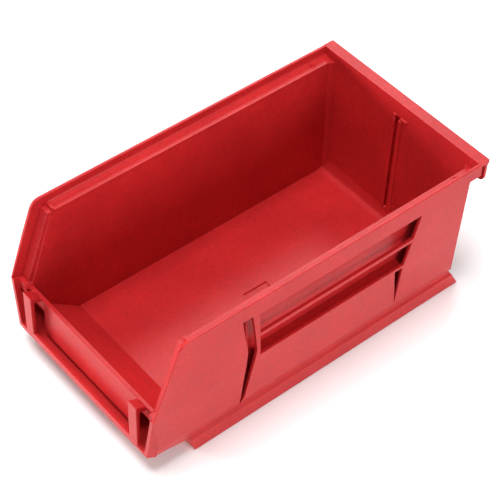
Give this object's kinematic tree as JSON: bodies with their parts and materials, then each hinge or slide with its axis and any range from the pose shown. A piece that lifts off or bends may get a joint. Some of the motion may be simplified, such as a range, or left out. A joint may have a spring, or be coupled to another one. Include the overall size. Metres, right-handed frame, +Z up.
{
  "type": "stackable storage bin",
  "caption": "Red moulded plastic stack-and-hang storage bin with an open hopper front, stacking ledges, foot rails, slotted side grips, a card holder and a rear hanger lip.",
  "frame": {"origin": "centre of the bounding box on the surface the foot rails stand on", "axes": "+Z up, +Y from the open front to the hanger lip at the back, +X to the bin's right seen from its front"},
  "size_m": [0.1048, 0.1872, 0.0762],
  "materials": {
    "bin_plastic": "fine matt moulded red polypropylene"
  },
  "bodies": {
    "root": {"floor_pan": "bin_plastic", "front_ramp": "bin_plastic", "front_rim": "bin_plastic", "back_wall": "bin_plastic", "left_wall": "bin_plastic", "right_wall": "bin_plastic", "left_ledge": "bin_plastic", "right_ledge": "bin_plastic", "left_rim": "bin_plastic", "right_rim": "bin_plastic", "left_stack_stop": "bin_plastic", "right_stack_stop": "bin_plastic", "left_front_skin": "bin_plastic", "right_front_skin": "bin_plastic", "left_grip_frame": "bin_plastic", "right_grip_frame": "bin_plastic", "left_grip_bar": "bin_plastic", "right_grip_bar": "bin_plastic", "left_pocket_rib": "bin_plastic", "right_pocket_rib": "bin_plastic", "left_rear_skin": "bin_plastic", "right_rear_skin": "bin_plastic", "left_corner_post": "bin_plastic", "right_corner_post": "bin_plastic", "left_grip_sill": "bin_plastic", "right_grip_sill": "bin_plastic", "left_shoulder": "bin_plastic", "right_shoulder": "bin_plastic", "label_panel": "bin_plastic", "label_shelf": "bin_plastic", "left_label_rib": "bin_plastic", "right_label_rib": "bin_plastic", "label_rail": "bin_plastic", "left_foot_rail": "bin_plastic", "right_foot_rail": "bin_plastic", "hanger_top": "bin_plastic", "hanger_lip": "bin_plastic", "divider_catch": "bin_plastic"}
  },
  "joints": []
}
